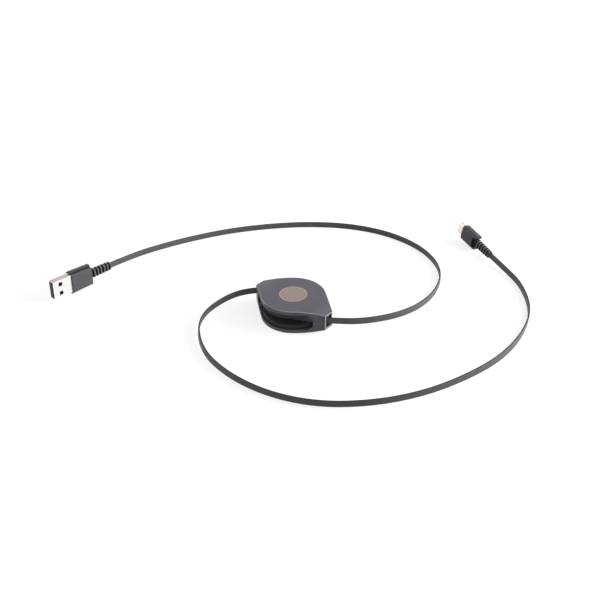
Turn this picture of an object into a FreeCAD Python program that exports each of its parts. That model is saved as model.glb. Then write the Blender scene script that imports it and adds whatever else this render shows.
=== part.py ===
"""A retractable USB-A to USB-C cable: a flat ribbon, a spring reel in the middle and a plug at each end.

Millimetres. Origin at the middle of the reel's underside, +Z up, +X along the reel's long axis.
"""
import FreeCAD, Part
import math
import os

Vector = FreeCAD.Vector
UP = Vector(0, 0, 1)

# Ribbon cable, which stands on its edge
ribbon_width = 4.1
ribbon_thickness = 0.95
floor_gap = 0.05
ribbon_overrun = 0.5
arc_share = 0.45

# Housing plan: a circle drawn out into a blunt nozzle at each end of the long axis
flange_radius = 18.1
flange_gap = 0.5
wall = 0.9
nozzle_reach = 27.1
mouth_width = 4.4

# Housing heights, stacked from the floor up
floor_thickness = 1.6
bottom_rim = 2.2
running_gap = 0.2
spring_height = 2.1
flange_thickness = 0.8
cam_height = 1.1
arm_thickness = 1.0
top_thickness = 2.4
nose_taper = 2.7
edge_round = 0.4
plate_edge = 0.7
seam_height = 0.4
seam_depth = 0.5
seam_reach = 24.0
window_rim = 0.2
window_reach = 21.5
window_corner = 4.0
mouth_flare = 0.35

# Centre post, boss and screw
post_radius = 3.0
post_play = 0.05
boss_length = 1.0
screw_radius = 0.9
screw_play = 0.05
screw_length = 7.0
screw_head_radius = 1.9
screw_head_height = 0.9
screw_head_play = 0.2

# Badge
badge_radius = 8.4
badge_play = 0.05
badge_thickness = 0.8
badge_proud = 0.1
badge_rim_width = 0.5
badge_rim_height = 0.15

# Spool and mainspring
hub_radius = 6.6
wound_depth = 3.4
wound_play = 0.05
chamber_wall = 1.5
spring_pack = 5.0
spring_tail_half_turns = 1
spring_strip = 0.25
spring_gap = 0.3

# Ratchet: a pin on a swinging arm runs in a round track and can drop into a pocket of the cam
pin_radius = 0.7
track_play = 0.5
pin_angle = 100.0
pivot_angle = 60.0
pivot_outset = 0.9
stub_radius = 1.0
stub_height = 0.9
stub_play = 0.05
arm_half_width = 1.4
swing_out = 0.8
pocket_count = 6
pocket_depth = 3.0
rim_width = 1.8

# USB-A plug
usb_a_shell_width = 12.0
usb_a_shell_thickness = 4.5
usb_a_shell_sheet = 0.3
usb_a_shell_exposed = 13.3
usb_a_shell_buried = 5.0
usb_a_shell_corner = 0.5
usb_a_window = 2.5
usb_a_window_from_tip = 5.2
usb_a_window_spacing = 6.1
usb_a_tongue_thickness = 1.84
usb_a_tongue_setback = 0.6
usb_a_contact_width = 1.0
usb_a_contact_thickness = 0.15
usb_a_contact_setback = 1.2
usb_a_contact_step = 1.0
usb_a_contact_length = 7.4
usb_a_contact_inner = 1.0
usb_a_contact_outer = 3.5
usb_a_grip_length = 14.8
usb_a_grip_width = 15.5
usb_a_grip_taper = 1.0
usb_a_slab_thickness = 2.8
usb_a_panel_width = 12.8
usb_a_grip_thickness = 6.6
usb_a_groove_width = 0.6
usb_a_groove_depth = 0.6
usb_a_grip_corner = 0.6
usb_a_relief_length = 15.5
usb_a_relief_width = 5.9
usb_a_relief_thickness = 4.6
usb_a_roll = 0.0

# USB-C plug
usb_c_shell_width = 8.34
usb_c_shell_thickness = 2.56
usb_c_shell_sheet = 0.3
usb_c_shell_exposed = 6.2
usb_c_shell_buried = 3.5
usb_c_slot_width = 6.7
usb_c_slot_thickness = 0.9
usb_c_slot_depth = 5.4
usb_c_contact_count = 12
usb_c_contact_pitch = 0.5
usb_c_contact_width = 0.28
usb_c_contact_thickness = 0.1
usb_c_contact_length = 3.4
usb_c_contact_setback = 1.2
usb_c_grip_length = 15.5
usb_c_grip_width = 10.6
usb_c_grip_thickness = 6.2
usb_c_grip_corner = 2.2
usb_c_grip_edge = 0.5
usb_c_notch_depth = 2.6
usb_c_notch_play = 0.4
usb_c_relief_length = 14.6
usb_c_relief_width = 5.5
usb_c_relief_thickness = 4.4
usb_c_roll = 6.0
usb_c_nose_up = 5.8

# Strain reliefs
relief_tail_share = 0.9
relief_corner = 0.9
relief_buried = 2.0
relief_play = 0.4
relief_recess = 1.2
slot_pitch = 2.5
slot_length = 1.3
slot_depth = 1.3
slot_edge_depth = 0.7

# Heights that follow from the stack
spool_bottom = floor_thickness + running_gap
lower_flange_bottom = spool_bottom + running_gap + spring_height
lower_flange_top = lower_flange_bottom + flange_thickness
ribbon_height = lower_flange_top + running_gap + ribbon_width / 2
upper_flange_bottom = ribbon_height + ribbon_width / 2 + running_gap
upper_flange_top = upper_flange_bottom + flange_thickness
cam_top = upper_flange_top + cam_height
arm_bottom = cam_top + running_gap
arm_top = arm_bottom + arm_thickness
ceiling = arm_top + running_gap
housing_height = ceiling + top_thickness
split_height = ribbon_height
window_top = ceiling - window_rim
channel_bottom = nose_taper + wall
channel_top = housing_height - nose_taper - wall
boss_bottom = ceiling - boss_length
badge_seat = housing_height - badge_thickness

# Plan that follows from the spool and from the mouths
chamber_radius = flange_radius - chamber_wall
rim_inner = flange_radius - rim_width
track_radius = rim_inner - swing_out - track_play - pin_radius
pivot_radius = track_radius + pivot_outset
chamber_inner_radius = flange_radius + flange_gap
housing_radius = chamber_inner_radius + wall
mouth_corner = math.hypot(nozzle_reach, mouth_width / 2)
flank_angle = math.atan2(nozzle_reach, mouth_width / 2) - math.acos(chamber_inner_radius / mouth_corner)
flat_half = housing_radius * math.sin(flank_angle) - edge_round
nose_length = nozzle_reach - flat_half
nose_radius = (nose_length ** 2 + nose_taper ** 2) / (2 * nose_taper)

# Cable routes, from the spool to each plug's strain relief
mouth_height = (channel_bottom + channel_top) / 2
floor_height = ribbon_width / 2 + floor_gap
usb_a_last_run = 17.5
usb_a_nose_up = math.atan(usb_a_grip_taper / 2 / usb_a_grip_length)
usb_a_tail_height = (
    (usb_a_grip_width - usb_a_grip_taper) / 2 * math.cos(usb_a_nose_up)
    - usb_a_relief_length * math.sin(usb_a_nose_up) + floor_gap
)
usb_a_route = [
    (4.5, -10.0, ribbon_height),
    (16.0, -6.0, ribbon_height),
    (27.0, 0.4, mouth_height),
    (42.0, 15.0, 5.8),
    (54.5, 41.0, 4.0),
    (55.0, 70.0, 2.3),
    (44.0, 98.0, floor_height),
    (19.5, 115.5, floor_height),
    (-10.5, 120.0, floor_height),
    (-39.5, 112.5, floor_height),
    (-64.5, 96.0, floor_height),
    (-85.0, 75.0, floor_height),
    (-102.5, 50.5, floor_height),
    (-114.2, 24.2, 2.6),
    (-119.8, -2.0, 4.6),
    (-121.8, -22.6, usb_a_tail_height - usb_a_last_run * math.tan(usb_a_nose_up)),
    (-122.3, -40.1, usb_a_tail_height),
]
usb_c_last_run = 16.0
usb_c_half_height = (
    (usb_c_grip_width / 2 - usb_c_grip_corner) * math.cos(math.radians(usb_c_roll))
    + (usb_c_grip_thickness / 2 - usb_c_grip_corner) * math.sin(math.radians(usb_c_roll))
    + usb_c_grip_corner
)
usb_c_tail_height = (
    usb_c_half_height * math.cos(math.radians(usb_c_nose_up))
    - usb_c_relief_length * math.sin(math.radians(usb_c_nose_up))
)
usb_c_route = [
    (-4.5, 10.0, ribbon_height),
    (-16.0, 6.0, ribbon_height),
    (-27.0, 0.4, mouth_height),
    (-39.0, -14.0, 5.8),
    (-38.0, -43.0, 4.0),
    (-15.5, -63.0, 2.3),
    (11.5, -70.0, floor_height),
    (40.0, -68.5, floor_height),
    (66.0, -58.0, floor_height),
    (87.0, -39.0, floor_height),
    (102.5, -16.0, floor_height),
    (112.5, 10.0, floor_height),
    (118.5, 37.5, floor_height),
    (117.5, 65.5, floor_height),
    (109.5, 93.0, floor_height),
    (90.6, 116.8, floor_height),
    (71.2, 128.8, usb_c_tail_height - usb_c_last_run * math.tan(math.radians(usb_c_nose_up))),
    (56.8, 135.6, usb_c_tail_height),
]


def polar(radius, degrees, height=0.0):
    """A point at an angle from +X."""
    angle = math.radians(degrees)
    return Vector(radius * math.cos(angle), radius * math.sin(angle), height)


def cylinder(radius, bottom, top, centre=Vector()):
    return Part.makeCylinder(radius, top - bottom, Vector(centre.x, centre.y, bottom))


def tube(outer, inner, bottom, top):
    return cylinder(outer, bottom, top).cut(cylinder(inner, bottom, top))


def block(x_range, y_range, z_range):
    low = Vector(x_range[0], y_range[0], z_range[0])
    return Part.makeBox(x_range[1] - x_range[0], y_range[1] - y_range[0], z_range[1] - z_range[0], low)


def rounded_wire(width_y, width_z, corner, x, centre_z=0.0):
    """A rounded rectangle that faces +X, at a given x."""
    half_y = width_y / 2 - corner
    half_z = width_z / 2 - corner
    edges = []
    corners = [(half_y, half_z, 0), (-half_y, half_z, 90), (-half_y, -half_z, 180), (half_y, -half_z, 270)]
    for index, (y, z, start) in enumerate(corners):
        arc_points = []
        for angle in (start, start + 45, start + 90):
            turned = polar(corner, angle)
            arc_points.append(Vector(x, y + turned.x, centre_z + z + turned.y))
        edges.append(Part.Arc(*arc_points).toShape())
        next_y, next_z, next_start = corners[(index + 1) % 4]
        turned = polar(corner, next_start)
        line_end = Vector(x, next_y + turned.x, centre_z + next_z + turned.y)
        if line_end.distanceToPoint(arc_points[2]) > 1e-6:
            edges.append(Part.LineSegment(arc_points[2], line_end).toShape())
    return Part.Wire(edges)


def rounded_bar(width_y, width_z, corner, x_start, x_end, centre_z=0.0):
    """A bar along X with a rounded rectangle for its section."""
    face = Part.Face(rounded_wire(width_y, width_z, corner, x_start, centre_z))
    return face.extrude(Vector(x_end - x_start, 0, 0))


def housing_outline(radius, reach):
    """The plan of the housing: two arcs, four flanks tangent to them and two end faces."""
    tangent = Vector(radius * math.sin(flank_angle), radius * math.cos(flank_angle), 0)
    half_end = (radius - reach * math.sin(flank_angle)) / math.cos(flank_angle)
    right_front = Vector(reach, -half_end, 0)
    right_back = Vector(reach, half_end, 0)
    left_back = Vector(-reach, half_end, 0)
    left_front = Vector(-reach, -half_end, 0)
    tangent_left = Vector(-tangent.x, tangent.y, 0)
    edges = [
        Part.LineSegment(right_front, right_back).toShape(),
        Part.LineSegment(right_back, tangent).toShape(),
        Part.Arc(tangent, Vector(0, radius, 0), tangent_left).toShape(),
        Part.LineSegment(tangent_left, left_back).toShape(),
        Part.LineSegment(left_back, left_front).toShape(),
        Part.LineSegment(left_front, -tangent).toShape(),
        Part.Arc(-tangent, Vector(0, -radius, 0), -tangent_left).toShape(),
        Part.LineSegment(-tangent_left, right_front).toShape(),
    ]
    return Part.Wire(edges)


def plan_prism(radius, reach, bottom, top):
    prism = Part.Face(housing_outline(radius, reach)).extrude(UP * (top - bottom))
    return prism.translated(UP * bottom)


def side_profile(inset):
    """The housing seen from the front: flat in the middle, both faces curving in towards the nozzles."""
    half_turn = math.asin(nose_length / nose_radius) / 2
    middle_x = flat_half + nose_radius * math.sin(half_turn)
    middle_drop = nose_radius * (1 - math.cos(half_turn))
    rows = []
    for level, inward in ((housing_height - inset, -1), (inset, 1)):
        tip_level = level + inward * nose_taper
        middle_level = level + inward * middle_drop
        rows.append({
            "left": [(-nozzle_reach, tip_level), (-middle_x, middle_level), (-flat_half, level)],
            "right": [(flat_half, level), (middle_x, middle_level), (nozzle_reach, tip_level)],
        })
    edges = []
    for row in rows:
        for side in ("left", "right"):
            edges.append(Part.Arc(*[Vector(x, 0, z) for x, z in row[side]]).toShape())
        inner_left = Vector(row["left"][2][0], 0, row["left"][2][1])
        inner_right = Vector(row["right"][0][0], 0, row["right"][0][1])
        edges.append(Part.LineSegment(inner_left, inner_right).toShape())
    for side, index in (("left", 0), ("right", 2)):
        upper = Vector(rows[0][side][index][0], 0, rows[0][side][index][1])
        lower = Vector(rows[1][side][index][0], 0, rows[1][side][index][1])
        edges.append(Part.LineSegment(upper, lower).toShape())
    face = Part.Face(Part.Wire(Part.__sortEdges__(edges)))
    return face.extrude(Vector(0, 4 * housing_radius, 0)).translated(Vector(0, -2 * housing_radius, 0))


def housing_hollow():
    """What both covers lose: the spool's chamber, the channel to each mouth and the two side windows."""
    window_height = window_top - bottom_rim
    window_middle = (window_top + bottom_rim) / 2
    chamber = cylinder(chamber_inner_radius, floor_thickness, ceiling)
    channel = plan_prism(chamber_inner_radius, nozzle_reach, channel_bottom, channel_top)
    window = rounded_bar(2 * window_reach, window_height, window_corner,
                         -2 * housing_radius, 2 * housing_radius, window_middle)
    flare_start = nozzle_reach - mouth_flare
    rims = []
    for x, widened in ((flare_start, 0), (nozzle_reach, mouth_flare)):
        half_y = mouth_width / 2 + widened
        low = channel_bottom - widened
        high = channel_top + widened
        corners = []
        for y, z in ((half_y, low), (half_y, high), (-half_y, high), (-half_y, low), (half_y, low)):
            corners.append(Vector(x, y, z))
        rims.append(Part.makePolygon(corners))
    flare = Part.makeLoft(rims, True, True)
    return [chamber, channel, window.rotated(Vector(), UP, 90), flare, flare.rotated(Vector(), UP, 180)]


def cover_blank(bottom, top):
    """The outside of one cover, with the long edges of its outer face chamfered."""
    blank = plan_prism(housing_radius, nozzle_reach, bottom, top).common(side_profile(0))
    long_edges = []
    for edge in blank.Edges:
        box = edge.BoundBox
        clear_of_split = box.ZMin > split_height + edge_round or box.ZMax < split_height - edge_round
        if clear_of_split and box.XLength > edge_round:
            long_edges.append(edge)
    return blank.makeChamfer(edge_round, long_edges)


def plate_seam():
    """The groove under the top plate's edge, which stops short of the mouths."""
    layer = side_profile(plate_edge).cut(side_profile(plate_edge + seam_height))
    core = plan_prism(housing_radius - seam_depth, nozzle_reach, split_height, housing_height)
    upper = block((-seam_reach, seam_reach), (-2 * housing_radius, 2 * housing_radius),
                  (split_height, housing_height))
    return layer.common(upper).cut(core)


def top_cover():
    """Upper half, with the boss that sits on the post, the badge's recess and the arm's socket."""
    body = cover_blank(split_height, housing_height).cut(housing_hollow() + [plate_seam()])
    boss = cylinder(post_radius, boss_bottom, ceiling)
    screw_hole = cylinder(screw_radius + screw_play, boss_bottom, badge_seat)
    head_seat = badge_seat - screw_head_height - screw_play
    counterbore = cylinder(screw_head_radius + screw_head_play, head_seat, badge_seat)
    badge_recess = cylinder(badge_radius + badge_play, badge_seat, housing_height)
    socket_top = arm_top + stub_height + running_gap
    socket = cylinder(stub_radius + stub_play, ceiling, socket_top, polar(pivot_radius, pivot_angle))
    return body.fuse(boss).cut([screw_hole, counterbore, badge_recess, socket])


def bottom_cover():
    """Lower half, with the hollow post that the spool turns on."""
    body = cover_blank(0, split_height).cut(housing_hollow())
    post = cylinder(post_radius, floor_thickness, boss_bottom)
    pilot_bottom = badge_seat - screw_head_height - screw_length - running_gap
    pilot = cylinder(screw_radius + screw_play, pilot_bottom, boss_bottom)
    return body.fuse(post).cut(pilot)


def badge():
    """Thin disc with a raised rim."""
    rim_top = housing_height + badge_proud
    field = cylinder(badge_radius - badge_rim_width, rim_top - badge_rim_height, rim_top)
    return cylinder(badge_radius, badge_seat, rim_top).cut(field)


def cover_screw():
    """Pan-head screw from the badge's recess into the post."""
    head_bottom = badge_seat - screw_head_height - screw_play
    head = cylinder(screw_head_radius, head_bottom, head_bottom + screw_head_height)
    shank = cylinder(screw_radius, head_bottom - screw_length, head_bottom)
    return head.fuse(shank)


def ratchet_places():
    """Where the arm turns and where its pin stands at rest."""
    return polar(pivot_radius, pivot_angle), polar(track_radius, pin_angle)


def spool():
    """Hub and flanges, with the spring's chamber below and the ratchet's track above."""
    pivot, pin = ratchet_places()
    body = cylinder(hub_radius, lower_flange_bottom, upper_flange_top)
    body = body.fuse([
        cylinder(flange_radius, lower_flange_bottom, lower_flange_top),
        cylinder(flange_radius, upper_flange_bottom, upper_flange_top),
        tube(flange_radius, chamber_radius, spool_bottom, lower_flange_bottom),
    ])
    cam_outer = track_radius - pin_radius - track_play
    cam = cylinder(cam_outer, upper_flange_top, cam_top)
    inward = UP.cross(pin - pivot).normalize()
    pocket_half = pin_radius + track_play
    pocket_end = pin + inward * (track_radius - cam_outer + pocket_depth)
    side = inward.cross(UP) * pocket_half
    corners = [pin + side, pin - side, pocket_end - side, pocket_end + side, pin + side]
    pocket = Part.Face(Part.makePolygon(corners)).extrude(UP * cam_height).translated(UP * upper_flange_top)
    pockets = [pocket.rotated(Vector(), UP, 360 * step / pocket_count) for step in range(pocket_count)]
    rim = tube(flange_radius, rim_inner, upper_flange_top, cam_top)
    body = body.fuse([cam.cut(pockets), rim])
    return body.cut(cylinder(post_radius + post_play, spool_bottom, cam_top)).removeSplitter()


def mainspring():
    """Flat strip wound tight on the post, with a tail to the chamber's wall made of growing half circles."""
    pack_inner = post_radius + spring_gap
    first_radius = pack_inner + spring_pack - spring_strip
    last_radius = chamber_radius - spring_gap - spring_strip
    growth = (last_radius - first_radius) / spring_tail_half_turns
    inner_edges = []
    outer_edges_back = []
    centre = -growth / 2
    for step in range(spring_tail_half_turns):
        sign = 1 if step % 2 == 0 else -1
        radius = first_radius + growth * (step + 0.5)
        for offset, edges in ((0, inner_edges), (spring_strip, outer_edges_back)):
            reach = radius + offset
            start = Vector(centre + sign * reach, 0, 0)
            middle = Vector(centre, sign * reach, 0)
            end = Vector(centre - sign * reach, 0, 0)
            edges.append(Part.Arc(start, middle, end).toShape())
        centre += sign * growth
    ends = []
    for index in (0, -1):
        inner_point = inner_edges[index].Vertexes[0 if index == 0 else 1].Point
        outer_point = outer_edges_back[index].Vertexes[0 if index == 0 else 1].Point
        ends.append(Part.LineSegment(inner_point, outer_point).toShape())
    wire = Part.Wire(Part.__sortEdges__(inner_edges + outer_edges_back + ends))
    bottom = spool_bottom + running_gap / 2
    tail = Part.Face(wire).extrude(UP * spring_height).translated(UP * bottom)
    pack = tube(pack_inner + spring_pack, pack_inner, bottom, bottom + spring_height)
    return pack.fuse(tail).removeSplitter()


def ratchet_arm():
    """Flat arm with a stub that turns in the top cover and a follower pin that hangs in the track."""
    pivot, pin = ratchet_places()
    along = (pin - pivot).normalize()
    side = UP.cross(along) * arm_half_width
    corners = [pivot + side, pivot - side, pin - side, pin + side, pivot + side]
    bar = Part.Face(Part.makePolygon(corners)).extrude(UP * arm_thickness).translated(UP * arm_bottom)
    return bar.fuse([
        cylinder(arm_half_width, arm_bottom, arm_top, pivot),
        cylinder(arm_half_width, arm_bottom, arm_top, pin),
        cylinder(stub_radius, arm_top, arm_top + stub_height, pivot),
        cylinder(pin_radius, upper_flange_top + running_gap, arm_bottom, pin),
    ]).removeSplitter()


def wound_turns():
    """The turns that stay on the hub, as one ring."""
    low = ribbon_height - ribbon_width / 2
    return tube(hub_radius + wound_depth, hub_radius + wound_play, low, low + ribbon_width)


def route_wire(points):
    """Straight runs joined by tangent arcs, each as large as its two runs allow. Also gives the radii."""
    corners = [Vector(*point) for point in points]
    edges = []
    radii = []
    last = corners[0]
    for before, corner, after in zip(corners, corners[1:], corners[2:]):
        arriving = (corner - before).normalize()
        leaving = (after - corner).normalize()
        half_turn = arriving.getAngle(leaving) / 2
        shorter = min(corner.distanceToPoint(before), corner.distanceToPoint(after))
        cut_back = arc_share * shorter
        radius = cut_back / math.tan(half_turn)
        start = corner - arriving * cut_back
        end = corner + leaving * cut_back
        inward = (leaving - arriving).normalize()
        middle = corner + inward * (radius / math.cos(half_turn) - radius)
        edges.append(Part.LineSegment(last, start).toShape())
        edges.append(Part.Arc(start, middle, end).toShape())
        radii.append(radius)
        last = end
    edges.append(Part.LineSegment(last, corners[-1]).toShape())
    return Part.Wire(edges), radii


def ribbon(name, points, roll):
    """The flat cable along a route, standing on its edge and cut flush with the strain relief's end."""
    end = Vector(*points[-1])
    onward = (end - Vector(*points[-2])).normalize()
    wire, radii = route_wire(points[:-1] + [tuple(end + onward * ribbon_overrun)])
    start = Vector(*points[0])
    along = (Vector(*points[1]) - start).normalize()
    side = UP.cross(along).normalize() * (ribbon_thickness / 2)
    rise = UP * (ribbon_width / 2)
    corners = [start + side + rise, start - side + rise, start - side - rise, start + side - rise]
    sweep = Part.BRepOffsetAPI.MakePipeShell(wire)
    sweep.setBiNormalMode(UP)
    sweep.add(Part.makePolygon(corners + corners[:1]))
    sweep.build()
    sweep.makeSolid()
    beyond = block((0, ribbon_width), (-ribbon_width, ribbon_width), (-ribbon_width, ribbon_width))
    solid = sweep.shape().cut(beyond.transformed(plug_placement(points, roll).toMatrix()))
    length = wire.Length - ribbon_overrun
    print(name, "radii", [round(radius) for radius in radii])
    print(name, "length", round(length, 1), "volume share",
          round(solid.Volume / (ribbon_width * ribbon_thickness * length), 4))
    return solid


def relief_section(thickness, width, x):
    """A rectangle that faces +X with its corners cut off."""
    half_y = thickness / 2
    half_z = width / 2
    quarter = [(half_y, half_z - relief_corner), (half_y - relief_corner, half_z)]
    points = []
    for sign_y, sign_z in ((1, 1), (-1, 1), (-1, -1), (1, -1)):
        ordered = quarter if sign_y == sign_z else quarter[::-1]
        for y, z in ordered:
            points.append(Vector(x, sign_y * y, sign_z * z))
    return Part.makePolygon(points + points[:1])


def strain_relief(width, thickness, length):
    """Tapered moulding from the ribbon's entry at x = 0 into the grip, with slots all round."""
    tail = relief_section(thickness * relief_tail_share, width * relief_tail_share, 0)
    root = relief_section(thickness, width, length + relief_buried)
    core_y = thickness / 2 - slot_depth
    core_z = width / 2 - slot_edge_depth
    cutters = []
    for index in range(int(length / slot_pitch)):
        middle = slot_pitch * (index + 0.5)
        x_range = (middle - slot_length / 2, middle + slot_length / 2)
        around = block(x_range, (-thickness, thickness), (-width, width))
        cutters.append(around.cut(block(x_range, (-core_y, core_y), (-core_z, core_z))))
    return Part.makeLoft([tail, root], True, True).cut(cutters)


def tapered_bar(thickness, width, corner, x_start, x_end, taper):
    """A bar along X that grows by the taper from its rear to its front."""
    rear = rounded_wire(thickness, width - taper, corner, x_start)
    front = rounded_wire(thickness, width, corner, x_end)
    return Part.makeLoft([rear, front], True, True)


def usb_a_plug():
    """The USB-A plug's pieces along +X from the ribbon's entry, wide way up."""
    grip_start = usb_a_relief_length
    grip_end = grip_start + usb_a_grip_length
    tip = grip_end + usb_a_shell_exposed
    shell_start = grip_end - usb_a_shell_buried
    inner_width = usb_a_shell_width - 2 * usb_a_shell_sheet
    inner_thickness = usb_a_shell_thickness - 2 * usb_a_shell_sheet
    inner_corner = usb_a_shell_corner - usb_a_shell_sheet

    shell = rounded_bar(usb_a_shell_thickness, usb_a_shell_width, usb_a_shell_corner, shell_start, tip)
    shell = shell.cut(rounded_bar(inner_thickness, inner_width, inner_corner, shell_start, tip))
    window_middle = tip - usb_a_window_from_tip
    window_x = (window_middle - usb_a_window / 2, window_middle + usb_a_window / 2)
    for side in (-1, 1):
        middle = side * usb_a_window_spacing / 2
        window_z = (middle - usb_a_window / 2, middle + usb_a_window / 2)
        shell = shell.cut(block(window_x, (-usb_a_shell_thickness, usb_a_shell_thickness), window_z))

    tongue_y = (-inner_thickness / 2, -inner_thickness / 2 + usb_a_tongue_thickness)
    tongue_end = tip - usb_a_tongue_setback
    tongue_half = inner_width / 2 - inner_corner
    tongue = block((shell_start, tongue_end), tongue_y, (-tongue_half, tongue_half))
    contacts = []
    for place, setback in ((usb_a_contact_outer, 0), (usb_a_contact_inner, usb_a_contact_step)):
        contact_end = tongue_end - usb_a_contact_setback - setback
        for side in (-1, 1):
            z_range = (side * place - usb_a_contact_width / 2, side * place + usb_a_contact_width / 2)
            y_range = (tongue_y[1], tongue_y[1] + usb_a_contact_thickness)
            contacts.append(block((contact_end - usb_a_contact_length, contact_end), y_range, z_range))

    slab = tapered_bar(usb_a_slab_thickness, usb_a_grip_width, usb_a_grip_corner,
                       grip_start, grip_end, usb_a_grip_taper)
    panels = tapered_bar(usb_a_grip_thickness, usb_a_panel_width, usb_a_grip_corner,
                         grip_start, grip_end, usb_a_grip_taper)
    grooves = []
    groove_y = usb_a_slab_thickness / 2
    groove_floor = (usb_a_panel_width - usb_a_grip_taper) / 2 - usb_a_groove_depth
    for y_range in ((groove_y, groove_y + usb_a_groove_width), (-groove_y - usb_a_groove_width, -groove_y)):
        for z_range in ((groove_floor, usb_a_grip_width), (-usb_a_grip_width, -groove_floor)):
            grooves.append(block((grip_start, grip_end), y_range, z_range))
    relief = strain_relief(usb_a_relief_width, usb_a_relief_thickness, usb_a_relief_length)
    pocket_thickness = usb_a_relief_thickness + 2 * relief_play
    pocket_width = usb_a_relief_width + 2 * relief_play
    pocket_end = grip_start + relief_recess
    pocket = rounded_bar(pocket_thickness, pocket_width, relief_corner, grip_start, pocket_end)
    core = rounded_bar(usb_a_shell_thickness, usb_a_shell_width, usb_a_shell_corner, shell_start, grip_end)
    grip = slab.fuse(panels.cut(grooves)).cut([pocket, relief, core]).removeSplitter()
    return {
        "usb_a_shell": shell,
        "usb_a_tongue": tongue,
        "usb_a_contacts": Part.Compound(contacts),
        "usb_a_grip": grip,
        "usb_a_strain_relief": relief,
    }


def usb_c_plug():
    """The USB-C plug's pieces along +X from the ribbon's entry, wide way up."""
    grip_start = usb_c_relief_length
    grip_end = grip_start + usb_c_grip_length
    tip = grip_end + usb_c_shell_exposed
    shell_start = grip_end - usb_c_shell_buried
    inner_width = usb_c_shell_width - 2 * usb_c_shell_sheet
    inner_thickness = usb_c_shell_thickness - 2 * usb_c_shell_sheet
    round_share = 0.499

    def oval(thickness, width, start, end):
        return rounded_bar(thickness, width, round_share * thickness, start, end)

    bore = oval(inner_thickness, inner_width, shell_start, tip)
    core = oval(usb_c_shell_thickness, usb_c_shell_width, shell_start, tip)
    shell = core.cut(bore)
    slot_floor = tip - usb_c_slot_depth
    insert_end = tip - usb_c_shell_sheet
    slot = block((slot_floor, tip), (-usb_c_slot_thickness / 2, usb_c_slot_thickness / 2),
                 (-usb_c_slot_width / 2, usb_c_slot_width / 2))
    insert = oval(inner_thickness, inner_width, shell_start, insert_end).cut(slot)
    contacts = []
    contact_end = insert_end - usb_c_contact_setback
    x_range = (contact_end - usb_c_contact_length, contact_end)
    face_y = usb_c_slot_thickness / 2
    tip_y = face_y - usb_c_contact_thickness
    for index in range(usb_c_contact_count):
        middle = (index - (usb_c_contact_count - 1) / 2) * usb_c_contact_pitch
        z_range = (middle - usb_c_contact_width / 2, middle + usb_c_contact_width / 2)
        for y_range in ((tip_y, face_y), (-face_y, -tip_y)):
            contacts.append(block(x_range, y_range, z_range))

    grip = rounded_bar(usb_c_grip_thickness, usb_c_grip_width, usb_c_grip_corner, grip_start, grip_end)
    ends = []
    for edge in grip.Edges:
        if edge.BoundBox.XLength < usb_c_grip_edge:
            ends.append(edge)
    grip = grip.makeChamfer(usb_c_grip_edge, ends)
    relief_length = usb_c_relief_length + usb_c_notch_depth
    relief = strain_relief(usb_c_relief_width, usb_c_relief_thickness, relief_length)
    notch_half = usb_c_relief_width / 2 + usb_c_notch_play
    notch_end = grip_start + usb_c_notch_depth
    notch = block((grip_start, notch_end - notch_half / 2), (-usb_c_grip_thickness, usb_c_grip_thickness),
                  (-notch_half, notch_half))
    notch_round = rounded_bar(2 * usb_c_grip_thickness, 2 * notch_half, notch_half / 2,
                              grip_start, notch_end)
    buried_core = oval(usb_c_shell_thickness, usb_c_shell_width, shell_start, grip_end)
    grip = grip.cut([notch, notch_round, relief, buried_core])
    return {
        "usb_c_shell": shell,
        "usb_c_insert": insert,
        "usb_c_contacts": Part.Compound(contacts),
        "usb_c_grip": grip,
        "usb_c_strain_relief": relief,
    }


def plug_placement(route, roll):
    """Puts a plug on the end of its route, in line with the last run."""
    end = Vector(*route[-1])
    along = (end - Vector(*route[-2])).normalize()
    turned = FreeCAD.Rotation(along, Vector(), UP, "XZY")
    return FreeCAD.Placement(end, turned.multiply(FreeCAD.Rotation(Vector(1, 0, 0), roll)))


def build():
    nodes = {
        "top_cover": top_cover(),
        "bottom_cover": bottom_cover(),
        "badge": badge(),
        "cover_screw": cover_screw(),
        "spool": spool(),
        "mainspring": mainspring(),
        "ratchet_arm": ratchet_arm(),
        "wound_turns": wound_turns(),
        "cable_usb_a_side": ribbon("cable_usb_a_side", usb_a_route, usb_a_roll),
        "cable_usb_c_side": ribbon("cable_usb_c_side", usb_c_route, usb_c_roll),
    }
    plugs = [(usb_a_plug(), usb_a_route, usb_a_roll), (usb_c_plug(), usb_c_route, usb_c_roll)]
    for pieces, route, roll in plugs:
        placement = plug_placement(route, roll)
        for name, shape in pieces.items():
            nodes[name] = shape.transformed(placement.toMatrix())
    return nodes


os.makedirs("parts", exist_ok=True)
for node_name, node_shape in build().items():
    node_shape.exportStep(os.path.join("parts", node_name + ".step"))
    print(node_name, len(node_shape.Solids), node_shape.isValid(), round(node_shape.Volume, 2))
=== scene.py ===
"""Looks of a retractable USB-A to USB-C cable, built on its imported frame.

Metres, in the part's own frame.
"""
import math

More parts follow.
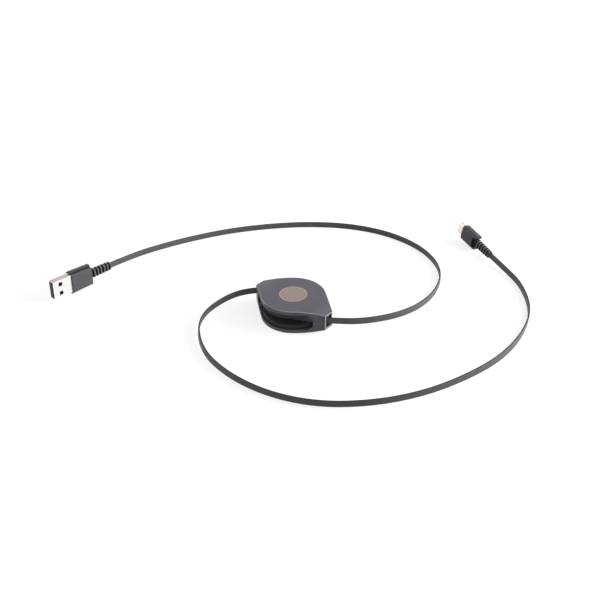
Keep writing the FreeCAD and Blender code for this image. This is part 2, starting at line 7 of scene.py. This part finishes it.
import bmesh
import bpy
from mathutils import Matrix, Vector


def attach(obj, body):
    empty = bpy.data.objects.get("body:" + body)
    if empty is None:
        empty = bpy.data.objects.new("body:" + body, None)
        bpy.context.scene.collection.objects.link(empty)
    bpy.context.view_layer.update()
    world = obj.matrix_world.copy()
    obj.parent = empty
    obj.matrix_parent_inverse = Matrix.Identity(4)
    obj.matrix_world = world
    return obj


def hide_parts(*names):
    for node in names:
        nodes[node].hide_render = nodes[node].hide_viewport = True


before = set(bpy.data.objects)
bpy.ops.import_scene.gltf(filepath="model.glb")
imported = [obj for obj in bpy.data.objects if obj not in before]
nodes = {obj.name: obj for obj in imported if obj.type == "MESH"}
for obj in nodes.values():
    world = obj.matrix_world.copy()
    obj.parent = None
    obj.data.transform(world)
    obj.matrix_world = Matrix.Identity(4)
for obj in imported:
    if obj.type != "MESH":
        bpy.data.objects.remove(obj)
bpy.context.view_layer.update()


# Ribbon cable, one side to each plug
# A flat lead of fine copper in a soft dark jacket, extruded in one length with round edges. It stands on its
# edge, runs out of the reel's two mouths, comes down to the table and rises again into each plug.
noise_span = (0.3, 0.7)
clouds_per_metre = 140
cloud_tones = (0.9, 1.1)
speck_tones = (0.94, 1.06)
grain_strength = 0.6


def new_group(name, inputs, outputs):
    """An empty shader node group with named sockets. Gives the tree and its input and output nodes."""
    group = bpy.data.node_groups.new(name, "ShaderNodeTree")
    for label, kind in inputs:
        group.interface.new_socket(label, in_out="INPUT", socket_type=kind)
    for label, kind in outputs:
        group.interface.new_socket(label, in_out="OUTPUT", socket_type=kind)
    return group, group.nodes.new("NodeGroupInput"), group.nodes.new("NodeGroupOutput")


def remapped(tree, seen, wanted):
    """A node that carries a value from one span over to another."""
    node = tree.nodes.new("ShaderNodeMapRange")
    node.inputs["From Min"].default_value = seen[0]
    node.inputs["From Max"].default_value = seen[1]
    node.inputs["To Min"].default_value = wanted[0]
    node.inputs["To Max"].default_value = wanted[1]
    return node


def calculated(tree, kind, operation):
    """A node that works out one thing, with plain numbers or with vectors."""
    node = tree.nodes.new(kind)
    node.operation = operation
    return node


def moulded_grain():
    """Fine eroded grain of a mould, with slow cloudy changes of tone and gloss over the surface."""
    group, given, made = new_group(
        "moulded_grain",
        [
            ("Colour", "NodeSocketColor"),
            ("Grains per metre", "NodeSocketFloat"),
            ("Roughness", "NodeSocketFloat"),
        ],
        [("Colour", "NodeSocketColor"), ("Roughness", "NodeSocketFloat"), ("Height", "NodeSocketFloat")],
    )
    link = group.links.new
    place = group.nodes.new("ShaderNodeTexCoord")
    grain = group.nodes.new("ShaderNodeTexNoise")
    grain.inputs["Detail"].default_value = 3
    cloud = group.nodes.new("ShaderNodeTexNoise")
    cloud.inputs["Scale"].default_value = clouds_per_metre
    cloud.inputs["Detail"].default_value = 4
    link(place.outputs["Object"], grain.inputs["Vector"])
    link(place.outputs["Object"], cloud.inputs["Vector"])
    link(given.outputs["Grains per metre"], grain.inputs["Scale"])
    shade = remapped(group, noise_span, cloud_tones)
    link(cloud.outputs["Fac"], shade.inputs["Value"])
    speck = remapped(group, (0, 1), speck_tones)
    link(grain.outputs["Fac"], speck.inputs["Value"])
    tone = calculated(group, "ShaderNodeMath", "MULTIPLY")
    link(shade.outputs["Result"], tone.inputs[0])
    link(speck.outputs["Result"], tone.inputs[1])
    paint = calculated(group, "ShaderNodeVectorMath", "SCALE")
    link(given.outputs["Colour"], paint.inputs[0])
    link(tone.outputs["Value"], paint.inputs["Scale"])
    gloss = calculated(group, "ShaderNodeMath", "MULTIPLY")
    link(given.outputs["Roughness"], gloss.inputs[0])
    link(shade.outputs["Result"], gloss.inputs[1])
    link(paint.outputs["Vector"], made.inputs["Colour"])
    link(gloss.outputs["Value"], made.inputs["Roughness"])
    link(grain.outputs["Fac"], made.inputs["Height"])
    return group


grain_group = moulded_grain()


def surfaced(name, group, colour, roughness, strength, relief):
    """A material with its skin from a group. Gives the material, its shader and the group's node."""
    material = bpy.data.materials.new(name)
    material.use_nodes = True
    tree = material.node_tree
    shader = tree.nodes["Principled BSDF"]
    skin = tree.nodes.new("ShaderNodeGroup")
    skin.node_tree = group
    skin.inputs["Colour"].default_value = (*colour, 1)
    skin.inputs["Roughness"].default_value = roughness
    bump = tree.nodes.new("ShaderNodeBump")
    bump.inputs["Strength"].default_value = strength
    bump.inputs["Distance"].default_value = relief
    tree.links.new(skin.outputs["Colour"], shader.inputs["Base Color"])
    tree.links.new(skin.outputs["Roughness"], shader.inputs["Roughness"])
    tree.links.new(skin.outputs["Height"], bump.inputs["Height"])
    tree.links.new(bump.outputs["Normal"], shader.inputs["Normal"])
    return material, shader, skin


def moulded(name, colour, roughness, grains_per_metre, relief, shine=0.5):
    """A moulded plastic or rubber: one colour, a grain and its bump."""
    material, shader, skin = surfaced(name, grain_group, colour, roughness, grain_strength, relief)
    shader.inputs["Specular IOR Level"].default_value = shine
    skin.inputs["Grains per metre"].default_value = grains_per_metre
    return material


# Painted shade: the ribbon's narrow edges, which face up and down, are painted darker.
painted_shade_slopes = (0.5, 0.9)
painted_shade_tone = 0.12


def paint_shade_on_edges(material):
    """Paints shade where the surface looks up or down, as on a ribbon's narrow edges, by taking its tone
    down.
    """
    tree = material.node_tree
    link = tree.links.new
    base = tree.nodes["Principled BSDF"].inputs["Base Color"]
    skin_colour = base.links[0].from_socket
    surface = tree.nodes.new("ShaderNodeNewGeometry")
    parts = tree.nodes.new("ShaderNodeSeparateXYZ")
    steep = calculated(tree, "ShaderNodeMath", "ABSOLUTE")
    tone = remapped(tree, painted_shade_slopes, (1, painted_shade_tone))
    paint = calculated(tree, "ShaderNodeVectorMath", "SCALE")
    link(surface.outputs["Normal"], parts.inputs["Vector"])
    link(parts.outputs["Z"], steep.inputs[0])
    link(steep.outputs["Value"], tone.inputs["Value"])
    link(skin_colour, paint.inputs[0])
    link(tone.outputs["Result"], paint.inputs["Scale"])
    link(paint.outputs["Vector"], base)


jacket = moulded("cable_jacket_finish", (0.090, 0.085, 0.087), roughness=0.48, grains_per_metre=5200,
                 relief=0.00002, shine=0.2)
# The jacket's narrow edges, on the leads and the wound turns, get painted shade.
paint_shade_on_edges(jacket)
ribbon_width = 0.0041
ribbon_thickness = 0.00095
steps_between_points = 14
round_edge_steps = 4
usb_a_route = [
    (0.0045, -0.0100, 0.00715),
    (0.0160, -0.0060, 0.00715),
    (0.0270, 0.0004, 0.00755),
    (0.0420, 0.0150, 0.0058),
    (0.0545, 0.0410, 0.0040),
    (0.0550, 0.0700, 0.0023),
    (0.0440, 0.0980, 0.0021),
    (0.0195, 0.1155, 0.0021),
    (-0.0105, 0.1200, 0.0021),
    (-0.0395, 0.1125, 0.0021),
    (-0.0645, 0.0960, 0.0021),
    (-0.0850, 0.0750, 0.0021),
    (-0.1025, 0.0505, 0.0021),
    (-0.1142, 0.0242, 0.0026),
    (-0.1198, -0.0020, 0.0046),
    (-0.1218, -0.0226, 0.006181),
    (-0.1223, -0.0401, 0.006773),
]
usb_c_route = [
    (-0.0045, 0.0100, 0.00715),
    (-0.0160, 0.0060, 0.00715),
    (-0.0270, 0.0004, 0.00755),
    (-0.0390, -0.0140, 0.0058),
    (-0.0380, -0.0430, 0.0040),
    (-0.0155, -0.0630, 0.0023),
    (0.0115, -0.0700, 0.0021),
    (0.0400, -0.0685, 0.0021),
    (0.0660, -0.0580, 0.0021),
    (0.0870, -0.0390, 0.0021),
    (0.1025, -0.0160, 0.0021),
    (0.1125, 0.0100, 0.0021),
    (0.1185, 0.0375, 0.0021),
    (0.1175, 0.0655, 0.0021),
    (0.1095, 0.0930, 0.0021),
    (0.0906, 0.1168, 0.0021),
    (0.0712, 0.1288, 0.002249),
    (0.0568, 0.1356, 0.003874),
]
usb_a_leans = {3: -6, 4: -10, 5: -6}
usb_c_leans = {4: -6, 5: -10, 6: -8, 11: -6, 12: -14, 13: -8, 14: 6, 15: 5, 16: 6, 17: 6}


def flat_lead(name, places, leans):
    """A ribbon on its edge along smooth control points. At some of them it leans over by so many degrees."""
    line = bpy.data.curves.new(name, "CURVE")
    line.dimensions = "3D"
    line.twist_mode = "Z_UP"
    spline = line.splines.new("NURBS")
    spline.points.add(len(places) - 1)
    for point, place in zip(spline.points, places):
        point.co = (*place, 1)
    for index, lean in leans.items():
        spline.points[index].tilt = math.radians(lean)
    spline.order_u = 3
    spline.use_endpoint_u = True
    spline.resolution_u = steps_between_points
    line.extrude = (ribbon_width - ribbon_thickness) / 2
    line.bevel_depth = ribbon_thickness / 2
    line.bevel_resolution = round_edge_steps
    line.use_fill_caps = True
    line.materials.append(jacket)
    lead = bpy.data.objects.new(name, line)
    bpy.context.scene.collection.objects.link(lead)
    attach(lead, "reel")
    return lead


usb_a_lead = flat_lead("ribbon_usb_a_side", usb_a_route, usb_a_leans)
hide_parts("cable_usb_a_side")
usb_c_lead = flat_lead("ribbon_usb_c_side", usb_c_route, usb_c_leans)
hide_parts("cable_usb_c_side")


# Wound turns
# The last turns of the same jacketed ribbon, which stay on the hub when both sides are pulled out. They are
# wound on edge, one over the other, and turn with the spool.
turn_count = 3
turns_inner = 0.00665
turns_outer = 0.0100
turns_height = 0.00715
turn_pitch = (turns_outer - turns_inner) / turn_count
turn_steps = 96
turn_edge_round = ribbon_thickness * 0.4
turn_edge_from = math.radians(60)


def wound_turn(form, inner):
    """One turn of the ribbon as a closed ring with square edges."""
    outer = inner + ribbon_thickness
    low = turns_height - ribbon_width / 2
    corners = [(inner, low), (outer, low), (outer, low + ribbon_width), (inner, low + ribbon_width)]
    section = [form.verts.new((x, 0, z)) for x, z in corners]
    rim = [form.edges.new((section[index - 1], section[index])) for index in range(4)]
    bmesh.ops.spin(form, geom=section + rim, cent=(0, 0, 0), axis=(0, 0, 1), angle=math.tau,
                   steps=turn_steps, use_merge=True)


form = bmesh.new()
for index in range(turn_count):
    wound_turn(form, turns_inner + turn_pitch * index + (turn_pitch - ribbon_thickness) / 2)
bmesh.ops.recalc_face_normals(form, faces=form.faces)
corner_edges = [edge for edge in form.edges if edge.calc_face_angle(0) > turn_edge_from]
bmesh.ops.bevel(form, geom=corner_edges, offset=turn_edge_round, affect="EDGES", segments=3, profile=0.5,
                material=-1)
turns_mesh = bpy.data.meshes.new("wound_ribbon")
form.to_mesh(turns_mesh)
form.free()
turns_mesh.shade_smooth()
turns_mesh.materials.append(jacket)
wound_ribbon = bpy.data.objects.new("wound_ribbon", turns_mesh)
bpy.context.scene.collection.objects.link(wound_ribbon)
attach(wound_ribbon, "spool")
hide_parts("wound_turns")


# Spool
# One black moulding with two flanges, which turns on the housing's post. The spring sits in a chamber on its
# lower side, and the ratchet's track is moulded into its upper face.
weld_distance = 1e-7
flat_limit = math.radians(0.2)


def eased_copy(piece_name, node_name, body, material, round_over, steps=2, sharp_from=25):
    """A CAD node's form as one merged mesh whose sharp edges are rounded over, as a mould leaves them."""
    form = bmesh.new()
    form.from_mesh(nodes[node_name].data)
    bmesh.ops.remove_doubles(form, verts=form.verts, dist=weld_distance)
    bmesh.ops.dissolve_limit(form, angle_limit=flat_limit, verts=form.verts, edges=form.edges)
    sharp = [edge for edge in form.edges if edge.calc_face_angle(0) > math.radians(sharp_from)]
    bmesh.ops.bevel(form, geom=sharp, offset=round_over, offset_type="OFFSET", affect="EDGES",
                    segments=steps, profile=0.5, material=-1, loop_slide=True, clamp_overlap=False)
    mesh = bpy.data.meshes.new(piece_name)
    form.to_mesh(mesh)
    form.free()
    mesh.shade_smooth()
    mesh.materials.append(material)
    piece = bpy.data.objects.new(piece_name, mesh)
    bpy.context.scene.collection.objects.link(piece)
    piece.modifiers.new("even_shading", "WEIGHTED_NORMAL")
    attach(piece, body)
    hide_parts(node_name)
    return piece


spool_black = moulded("spool_plastic_finish", (0.034, 0.034, 0.040), roughness=0.6, grains_per_metre=4000,
                      relief=0.00001, shine=0.2)
eased_copy("spool_moulding", "spool", "spool", spool_black, round_over=0.00012)


# Mainspring, cover screw and ratchet arm
# A blued steel strip coiled in the spool's lower chamber, the plated screw that closes the housing, and the
# white acetal arm whose pin follows the ratchet's track.
line_tones = (0.9, 1.05)
line_glosses = (1.3, 0.8)
line_strength = 0.5
line_relief = 0.000004


def drawn_lines():
    """Fine lines that drawing, turning or brushing leaves on metal, spread by the given vector."""
    group, given, made = new_group(
        "drawn_lines",
        [("Vector", "NodeSocketVector"), ("Colour", "NodeSocketColor"), ("Roughness", "NodeSocketFloat")],
        [("Colour", "NodeSocketColor"), ("Roughness", "NodeSocketFloat"), ("Height", "NodeSocketFloat")],
    )
    link = group.links.new
    lines = group.nodes.new("ShaderNodeTexNoise")
    lines.inputs["Scale"].default_value = 1
    lines.inputs["Detail"].default_value = 4
    link(given.outputs["Vector"], lines.inputs["Vector"])
    shade = remapped(group, noise_span, line_tones)
    link(lines.outputs["Fac"], shade.inputs["Value"])
    paint = calculated(group, "ShaderNodeVectorMath", "SCALE")
    link(given.outputs["Colour"], paint.inputs[0])
    link(shade.outputs["Result"], paint.inputs["Scale"])
    gloss = remapped(group, noise_span, line_glosses)
    link(lines.outputs["Fac"], gloss.inputs["Value"])
    rough = calculated(group, "ShaderNodeMath", "MULTIPLY")
    link(given.outputs["Roughness"], rough.inputs[0])
    link(gloss.outputs["Result"], rough.inputs[1])
    link(paint.outputs["Vector"], made.inputs["Colour"])
    link(rough.outputs["Value"], made.inputs["Roughness"])
    link(lines.outputs["Fac"], made.inputs["Height"])
    return group


line_group = drawn_lines()


def lined_metal(name, colour, roughness):
    """A metal whose surface carries fine lines. Gives the material, its tree and the lines' group node."""
    material, shader, skin = surfaced(name, line_group, colour, roughness, line_strength, line_relief)
    shader.inputs["Metallic"].default_value = 1
    return material, material.node_tree, skin


def straight_lines(name, colour, roughness, lines_per_metre, turned=0.0):
    """A drawn metal, with lines along the axis that has the fewest to the metre, turned by some degrees."""
    material, tree, skin = lined_metal(name, colour, roughness)
    place = tree.nodes.new("ShaderNodeTexCoord")
    stretch = tree.nodes.new("ShaderNodeMapping")
    stretch.vector_type = "TEXTURE"
    stretch.inputs["Rotation"].default_value = (0, 0, math.radians(turned))
    stretch.inputs["Scale"].default_value = [1 / count for count in lines_per_metre]
    tree.links.new(place.outputs["Object"], stretch.inputs["Vector"])
    tree.links.new(stretch.outputs["Vector"], skin.inputs["Vector"])
    return material


blued_steel = straight_lines("spring_steel_finish", (0.20, 0.21, 0.24), roughness=0.3,
                             lines_per_metre=(400, 400, 6000))
eased_copy("mainspring_strip", "mainspring", "reel", blued_steel, round_over=0.00004,
           sharp_from=40)
zinc_plate = straight_lines("fastener_steel_finish", (0.62, 0.62, 0.60), roughness=0.35,
                            lines_per_metre=(2500, 2500, 900))
eased_copy("cover_screw_turned", "cover_screw", "reel", zinc_plate, round_over=0.00012,
           sharp_from=40)
acetal = moulded("arm_plastic_finish", (0.55, 0.55, 0.52), roughness=0.4, grains_per_metre=3000,
                 relief=0.000006)
eased_copy("ratchet_arm_moulding", "ratchet_arm", "arm", acetal, round_over=0.0001)


# Housing
# Two moulded halves of satin dark grey plastic, closed on each other by one screw under the badge. The top
# half ends in a flat plate with a fine shadow groove below its edge. That edge and both mouths' end faces
# are glossier and carry a painted highlight in a lighter grey.
housing_grey = moulded("housing_plastic_finish", (0.070, 0.0655, 0.079), roughness=0.42,
                       grains_per_metre=4200, relief=0.00001, shine=0.4)
# A lighter, glossier grey of the same plastic, which paints a highlight on the plate's edge and the mouths'
# end faces.
grey_with_painted_highlight = moulded("housing_edge_painted_highlight", (0.230, 0.225, 0.245), roughness=0.28, grains_per_metre=4200,
                        relief=0.000004)
mouth_rim = 0.02695
highlight_slope_low = 0.35
highlight_slope_high = 0.9


def housing_half(piece_name, node_name):
    """One half, with a painted highlight, a lighter and glossier grey, on the slope round the outer plate
    and on the end faces of the mouths.
    """
    half = eased_copy(piece_name, node_name, "reel", housing_grey, round_over=0.00012)
    half.data.materials.append(grey_with_painted_highlight)
    # Faces on the plate's sloped edge and on the mouths' end faces get the painted highlight.
    for face in half.data.polygons:
        if highlight_slope_low < face.normal.z < highlight_slope_high or abs(face.center.x) > mouth_rim:
            face.material_index = 1


housing_half("bottom_cover_moulding", "bottom_cover")
housing_half("top_cover_moulding", "top_cover")


# Badge
# A stamped aluminium disc, anodised bronze and finished on a lathe, with a bright raised rim. It is pressed
# into the top cover's recess and hides the screw.
bronze = (0.345, 0.272, 0.238)
bright_rim = (0.45, 0.385, 0.355)
rim_inner = 0.0079
rim_blend = 0.0001
rings_per_metre = 5200


def turned_disc():
    """Bronze with fine rings about the disc's middle and a brighter rim."""
    material, tree, skin = lined_metal("badge_metal_finish", bronze, roughness=0.38)
    link = tree.links.new
    place = tree.nodes.new("ShaderNodeTexCoord")
    flat = calculated(tree, "ShaderNodeVectorMath", "MULTIPLY")
    flat.inputs[1].default_value = (1, 1, 0)
    radius = calculated(tree, "ShaderNodeVectorMath", "LENGTH")
    rings = calculated(tree, "ShaderNodeMath", "MULTIPLY")
    rings.inputs[1].default_value = rings_per_metre
    spread = tree.nodes.new("ShaderNodeCombineXYZ")
    link(place.outputs["Object"], flat.inputs[0])
    link(flat.outputs["Vector"], radius.inputs[0])
    link(radius.outputs["Value"], rings.inputs[0])
    link(rings.outputs["Value"], spread.inputs["X"])
    link(spread.outputs["Vector"], skin.inputs["Vector"])
    edge = remapped(tree, (rim_inner - rim_blend, rim_inner), (0, 1))
    link(radius.outputs["Value"], edge.inputs["Value"])
    tone = tree.nodes.new("ShaderNodeMix")
    tone.data_type = "RGBA"
    tone.inputs["A"].default_value = (*bronze, 1)
    tone.inputs["B"].default_value = (*bright_rim, 1)
    link(edge.outputs["Result"], tone.inputs["Factor"])
    link(tone.outputs["Result"], skin.inputs["Colour"])
    return material


eased_copy("badge_disc", "badge", "reel", turned_disc(), round_over=0.00008)


# USB-A plug
# A folded, nickel-plated steel shell round a black tongue with four gold contacts, held in a two-tone
# moulded grip: light panels on a dark middle. A slotted rubber relief takes up the ribbon's bending.
# The tongue's and insert's black plastic, also used as painted shade on the shell's part inside the grip.
black_plastic_and_painted_shade = moulded("black_plastic_and_painted_shade_finish", (0.02, 0.02, 0.021), roughness=0.45, grains_per_metre=3000,
                       relief=0.000006)
gold_plate = straight_lines("contact_gold_finish", (0.83, 0.62, 0.26), roughness=0.25,
                            lines_per_metre=(900, 5000, 900))
grip_grey = moulded("grip_plastic_finish", (0.066, 0.064, 0.068), roughness=0.5, grains_per_metre=5000,
                    relief=0.00001)
grip_dark = moulded("grip_middle_finish", (0.033, 0.033, 0.034), roughness=0.5, grains_per_metre=5000,
                    relief=0.00001)
relief_rubber = moulded("relief_rubber_finish", (0.105, 0.101, 0.107), roughness=0.55, grains_per_metre=5000,
                        relief=0.00001, shine=0.3)
# Painted shade for the reliefs' slots: the same rubber, painted near-black where shade falls.
slot_painted_shade = moulded("relief_slot_painted_shade", (0.008, 0.008, 0.009), roughness=0.7, grains_per_metre=5000,
                     relief=0.00001, shine=0.1)
usb_a_turned = -1.6
usb_a_nickel = straight_lines("usb_a_shell_finish", (0.95, 0.945, 0.935), roughness=0.2,
                              lines_per_metre=(4000, 200, 4000), turned=usb_a_turned)
# Painted reflection: the shell's up- and down-facing sides get a darker, pinkish copy of the same nickel.
nickel_painted_reflection = straight_lines("usb_a_side_painted_reflection", (0.58, 0.51, 0.51), roughness=0.3,
                               lines_per_metre=(4000, 200, 4000), turned=usb_a_turned)
usb_a_end = Vector(usb_a_route[-1])
usb_a_along = (usb_a_end - Vector(usb_a_route[-2])).normalized()
usb_a_face = usb_a_along.cross(Vector((0, 0, 1)))
grip_front = 0.0303
painted_reflection_slope = 0.7
dark_half = 0.0015
slot_pitch = 0.0025
slot_half = 0.00066

usb_a_shell = eased_copy("usb_a_shell_folded", "usb_a_shell", "reel", usb_a_nickel,
                         round_over=0.00006, sharp_from=40)
usb_a_shell.data.materials.append(nickel_painted_reflection)
usb_a_shell.data.materials.append(black_plastic_and_painted_shade)
form = bmesh.new()
form.from_mesh(usb_a_shell.data)
bmesh.ops.bisect_plane(form, geom=form.verts[:] + form.edges[:] + form.faces[:],
                       plane_co=usb_a_end + usb_a_along * grip_front, plane_no=usb_a_along)
form.to_mesh(usb_a_shell.data)
form.free()
# Shell faces behind the grip's front, seen in the grip's groove, get painted shade in black.
for face in usb_a_shell.data.polygons:
    if (face.center - usb_a_end).dot(usb_a_along) < grip_front:
        face.material_index = 2
    # Up- and down-facing shell faces get the painted reflection.
    elif abs(face.normal.z) > painted_reflection_slope:
        face.material_index = 1

usb_a_grip = eased_copy("usb_a_grip_moulding", "usb_a_grip", "reel", grip_grey,
                        round_over=0.0002, steps=3)
usb_a_grip.data.materials.append(grip_dark)
for face in usb_a_grip.data.polygons:
    if abs((face.center - usb_a_end).dot(usb_a_face)) < dark_half:
        face.material_index = 1


def slotted_relief(piece_name, node_name, end, along):
    """A strain relief whose slots, which repeat from the ribbon's entry on, are painted near-black as shade.
    """
    relief = eased_copy(piece_name, node_name, "reel", relief_rubber, round_over=0.00012)
    relief.data.materials.append(slot_painted_shade)
    for face in relief.data.polygons:
        place = (face.center - end).dot(along) / slot_pitch
        if abs(place - math.floor(place) - 0.5) * slot_pitch < slot_half:
            face.material_index = 1
    return relief


usb_a_relief = slotted_relief("usb_a_relief_moulding", "usb_a_strain_relief", usb_a_end, usb_a_along)


def finish_node(node_name, material):
    """Gives a CAD node that is shown as it is its own finish."""
    node = nodes[node_name]
    node.material_slots[0].material = material
    return node


usb_a_tongue = finish_node("usb_a_tongue", black_plastic_and_painted_shade)
usb_a_contacts = finish_node("usb_a_contacts", gold_plate)


# USB-C plug
# A deep-drawn oval shell, plated in a warm silver, round a black insert with two rows of gold contacts. The
# grip is one dark rounded moulding with an open notch at its rear, out of which the relief comes.
usb_c_turned = -26
usb_c_nickel = straight_lines("usb_c_shell_finish", (0.72, 0.65, 0.59), roughness=0.32,
                              lines_per_metre=(200, 4000, 4000), turned=usb_c_turned)
grip_blue_black = moulded("usb_c_grip_finish", (0.037, 0.034, 0.047), roughness=0.40, grains_per_metre=5000,
                          relief=0.00001, shine=0.3)
usb_c_end = Vector(usb_c_route[-1])
usb_c_along = (usb_c_end - Vector(usb_c_route[-2])).normalized()
usb_c_shell = eased_copy("usb_c_shell_drawn", "usb_c_shell", "reel", usb_c_nickel,
                         round_over=0.00006, sharp_from=40)
usb_c_grip = eased_copy("usb_c_grip_moulding", "usb_c_grip", "reel", grip_blue_black,
                        round_over=0.0002, steps=3)
usb_c_relief = slotted_relief("usb_c_relief_moulding", "usb_c_strain_relief", usb_c_end, usb_c_along)
usb_c_insert = finish_node("usb_c_insert", black_plastic_and_painted_shade)
usb_c_contacts = finish_node("usb_c_contacts", gold_plate)


# Table top, light and camera
# A white sweep that stays white to the camera, far and near, and still takes the part's soft shadow. Four
# square lamps and a pale sky light the part, and the camera looks down on it from the front right.
floor_size = 6.0
floor_tone = 0.3
near_glow = 0.76
far_glow = 0.93
glow_rises = (0.25, 1.0)
horizon_light = 0.08
zenith_light = 0.5


def seen_or_mirrored(tree):
    """1 for rays from the camera, a mirror or glass, and 0 for the light that falls on things."""
    path = tree.nodes.new("ShaderNodeLightPath")
    first = calculated(tree, "ShaderNodeMath", "MAXIMUM")
    second = calculated(tree, "ShaderNodeMath", "MAXIMUM")
    tree.links.new(path.outputs["Is Camera Ray"], first.inputs[0])
    tree.links.new(path.outputs["Is Glossy Ray"], first.inputs[1])
    tree.links.new(first.outputs["Value"], second.inputs[0])
    tree.links.new(path.outputs["Is Transmission Ray"], second.inputs[1])
    return second.outputs["Value"]


form = bmesh.new()
bmesh.ops.create_grid(form, x_segments=1, y_segments=1, size=floor_size / 2)
floor_mesh = bpy.data.meshes.new("table_top")
form.to_mesh(floor_mesh)
form.free()
floor = bpy.data.objects.new("table_top", floor_mesh)
bpy.context.scene.collection.objects.link(floor)
paper = bpy.data.materials.new("white_table")
paper.use_nodes = True
paper_tree = paper.node_tree
shader = paper_tree.nodes["Principled BSDF"]
shader.inputs["Base Color"].default_value = (floor_tone, floor_tone, floor_tone, 1)
shader.inputs["Roughness"].default_value = 1
shader.inputs["Specular IOR Level"].default_value = 0
shader.inputs["Emission Color"].default_value = (1, 1, 1, 1)
spot = paper_tree.nodes.new("ShaderNodeTexCoord")
reach = calculated(paper_tree, "ShaderNodeVectorMath", "LENGTH")
fade = remapped(paper_tree, glow_rises, (near_glow, far_glow))
glow = calculated(paper_tree, "ShaderNodeMath", "MULTIPLY")
paper_tree.links.new(spot.outputs["Object"], reach.inputs[0])
paper_tree.links.new(reach.outputs["Value"], fade.inputs["Value"])
paper_tree.links.new(fade.outputs["Result"], glow.inputs[0])
paper_tree.links.new(seen_or_mirrored(paper_tree), glow.inputs[1])
paper_tree.links.new(glow.outputs["Value"], shader.inputs["Emission Strength"])
floor_mesh.materials.append(paper)

world = bpy.data.worlds.new("white_studio")
bpy.context.scene.world = world
world.use_nodes = True
sky_tree = world.node_tree
sky = sky_tree.nodes["Background"]
sky.inputs["Color"].default_value = (1, 1, 1, 1)
direction = sky_tree.nodes.new("ShaderNodeTexCoord")
height = sky_tree.nodes.new("ShaderNodeSeparateXYZ")
fill = remapped(sky_tree, (0, 1), (horizon_light, zenith_light))
white = calculated(sky_tree, "ShaderNodeMath", "MAXIMUM")
sky_tree.links.new(direction.outputs["Generated"], height.inputs["Vector"])
sky_tree.links.new(height.outputs["Z"], fill.inputs["Value"])
sky_tree.links.new(seen_or_mirrored(sky_tree), white.inputs[0])
sky_tree.links.new(fill.outputs["Result"], white.inputs[1])
sky_tree.links.new(white.outputs["Value"], sky.inputs["Strength"])


def soft_box(name, place, size, power, mirrored=True):
    """A square lamp that faces the reel. Where it would only glare, it is kept out of reflections."""
    light = bpy.data.lights.new(name, "AREA")
    light.shape = "SQUARE"
    light.size = size
    light.energy = power
    lamp = bpy.data.objects.new(name, light)
    lamp.visible_glossy = mirrored
    lamp.location = place
    lamp.rotation_euler = Vector(place).to_track_quat("Z", "Y").to_euler()
    bpy.context.scene.collection.objects.link(lamp)


soft_box("key_box", (0.35, 0.65, 0.85), size=0.7, power=2.2)
soft_box("side_box", (0.45, 0.45, 0.22), size=0.45, power=9.5, mirrored=False)
soft_box("edge_box", (-0.95, -0.2, 0.4), size=0.5, power=2.5)
soft_box("front_box", (0.10, -0.50, 0.25), size=0.3, power=0.7)

eye = Vector((0.28153, -0.32937, 0.28697))
looked_at = Vector((-0.00747, 0.01513, 0.00047))
film_width = 36
focal_length = 51.6
nearest_seen = 0.01
lens = bpy.data.cameras.new("camera")
lens.sensor_width = film_width
lens.lens = focal_length
lens.clip_start = nearest_seen
camera = bpy.data.objects.new("camera", lens)
camera.location = eye
camera.rotation_euler = (looked_at - eye).to_track_quat("-Z", "Y").to_euler()
bpy.context.scene.collection.objects.link(camera)
bpy.context.scene.camera = camera
bpy.context.scene.view_settings.view_transform = "Standard"
